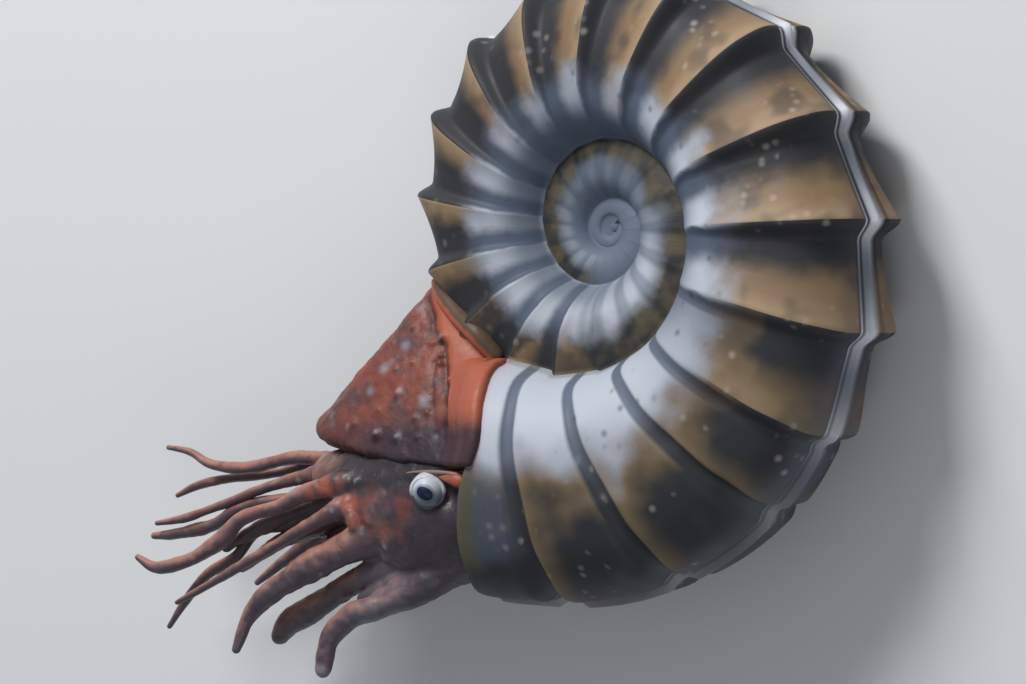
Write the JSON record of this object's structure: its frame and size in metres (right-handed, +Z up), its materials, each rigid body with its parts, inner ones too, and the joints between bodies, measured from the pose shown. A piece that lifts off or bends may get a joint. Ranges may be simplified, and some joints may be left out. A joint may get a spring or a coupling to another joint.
{
  "type": "ammonite with its animal",
  "caption": "Life-size ammonite lying on its side: a ribbed, keeled coiled shell with the living animal's head, hood, eyes and reaching arms at its mouth.",
  "frame": {"origin": "centre of the bounding box's underside, at the height of the surface that the shell's lowest ribs rest on", "axes": "+Z up, close to the coiling axis; +X from the tips of the arms towards the shell; +Y across, away from the head, towards the part of the coil behind the hood"},
  "size_m": [0.28, 0.2226, 0.072],
  "materials": {
    "shell": "satin",
    "hood": "satin",
    "head": "satin",
    "arm": "satin",
    "eye": "gloss"
  },
  "bodies": {
    "root": {"shell": "shell", "hood": "hood", "head": "head", "eye_left": "eye", "eye_right": "eye", "arm_01": "arm", "arm_02": "arm", "arm_03": "arm", "arm_04": "arm", "arm_05": "arm", "arm_06": "arm", "arm_07": "arm", "arm_08": "arm", "arm_09": "arm", "arm_10": "arm", "arm_11": "arm"}
  },
  "joints": []
}
